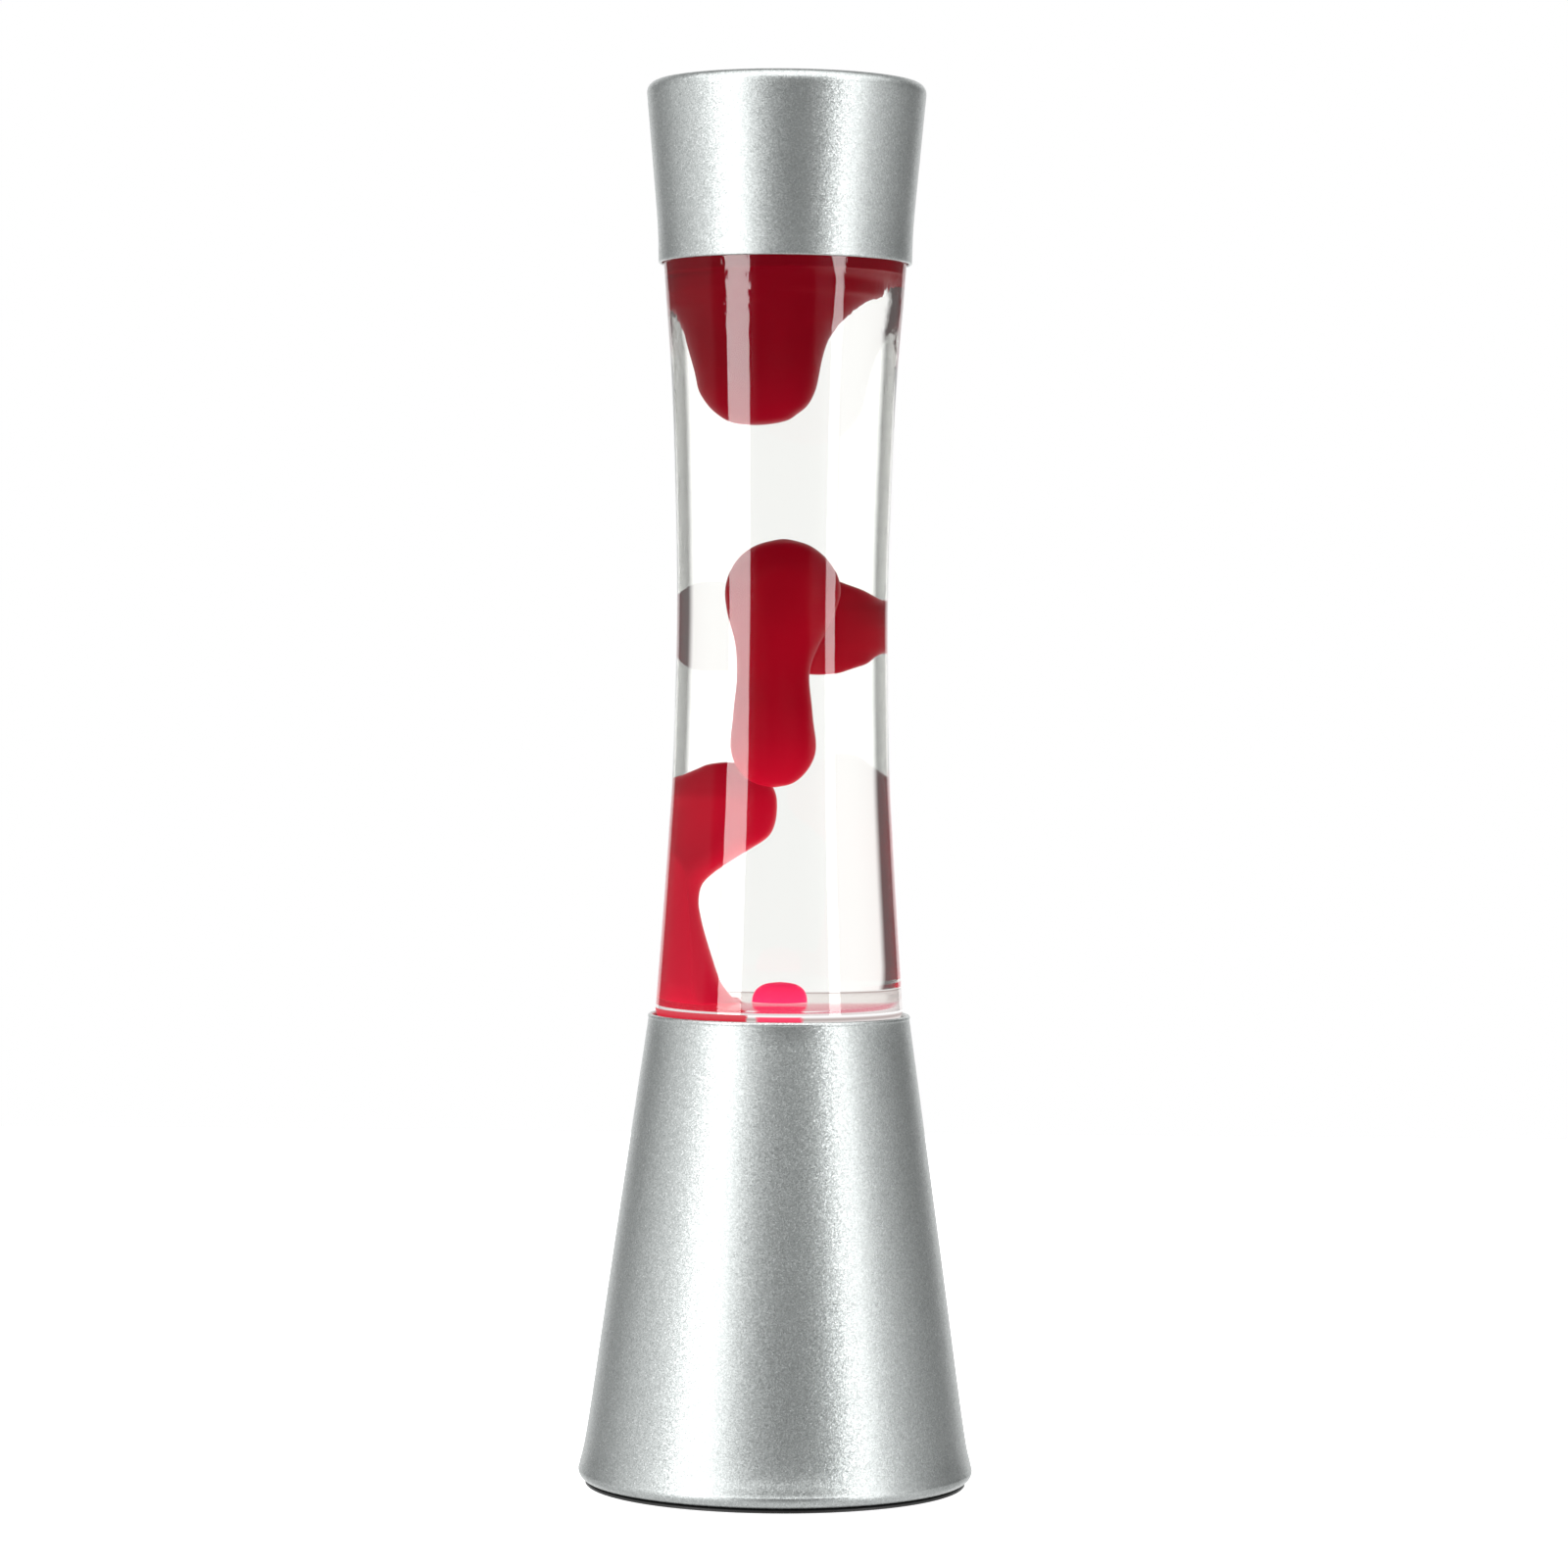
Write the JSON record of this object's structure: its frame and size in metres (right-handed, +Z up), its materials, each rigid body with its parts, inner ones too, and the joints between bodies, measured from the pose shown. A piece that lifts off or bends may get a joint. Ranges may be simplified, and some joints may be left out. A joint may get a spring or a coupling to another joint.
{
  "type": "lava lamp",
  "caption": "Table lamp with a cone metal base, a waisted glass bottle of clear liquid and red wax over a reflector bulb, and a flared metal cap.",
  "frame": {"origin": "centre of the base's underside, on the surface the lamp stands on", "axes": "+Z up along the lamp's axis, through the cap; the lamp's front faces -Y; the cord gland is at -X, +Y"},
  "size_m": [0.1128, 0.1128, 0.4],
  "materials": {
    "satin_aluminium": "satin with fine metallic flake",
    "black_plastic": "fine moulded grain",
    "pad_rubber": "matte",
    "silicone": "matte, translucent white",
    "plated_steel": "zinc plated",
    "nickel_brass": "nickel plated",
    "phenolic": "moulded, semi-gloss",
    "ceramic": "glazed",
    "brown_insulation": "extruded",
    "blue_insulation": "extruded",
    "bulb_glass": "clear with an inner reflector coat",
    "tungsten": "drawn wire",
    "bottle_glass": "clear, smooth",
    "clear_liquid": "clear",
    "red_wax": "translucent, smooth",
    "tinplate": "bright tinplate",
    "liner_foam": "closed-cell foam",
    "white_plastic": "matte moulded"
  },
  "bodies": {
    "base": {"base_shell": "satin_aluminium", "bottom_plate": "black_plastic", "cord_gland": "black_plastic", "gland_nut": "black_plastic", "anti_slip_pad_1": "pad_rubber", "anti_slip_pad_2": "pad_rubber", "anti_slip_pad_3": "pad_rubber", "seat_cushion": "silicone", "seat_ring": "plated_steel", "holder_bracket": "plated_steel", "bottom_screw_1": "plated_steel", "bottom_screw_2": "plated_steel", "nipple": "plated_steel", "nipple_nut_lower": "plated_steel", "nipple_nut_upper": "plated_steel", "thread_sleeve": "nickel_brass", "centre_contact": "nickel_brass", "lampholder_base": "phenolic", "lampholder_shell": "phenolic", "terminal_block": "ceramic", "live_lead": "brown_insulation", "neutral_lead": "blue_insulation"},
    "bulb": {"bulb_envelope": "bulb_glass", "bulb_screw_cap": "nickel_brass", "bulb_insulator": "ceramic", "bulb_contact": "nickel_brass", "bulb_stem": "bulb_glass", "bulb_filament": "tungsten"},
    "bottle": {"glass_bottle": "bottle_glass", "bottle_closure": "tinplate", "closure_liner": "liner_foam", "liquid": "clear_liquid", "wax_top": "red_wax", "wax_middle": "red_wax", "wax_side": "red_wax", "wax_lower": "red_wax", "wax_dome": "red_wax"},
    "cap": {"cap_shell": "satin_aluminium", "cap_sleeve": "white_plastic"}
  },
  "joints": [
    {"name": "bulb_unscrew", "type": "hinge", "parent": "base", "child": "bulb", "pos_m": [0, 0, 0.06], "axis": [0, 0, 1], "range_deg": [0, 1620]},
    {"name": "bottle_lift", "type": "slide", "parent": "base", "child": "bottle", "axis": [0, 0, 1], "range_m": [0, 0.07]},
    {"name": "cap_lift", "type": "slide", "parent": "bottle", "child": "cap", "axis": [0, 0, 1], "range_m": [0, 0.05]}
  ]
}
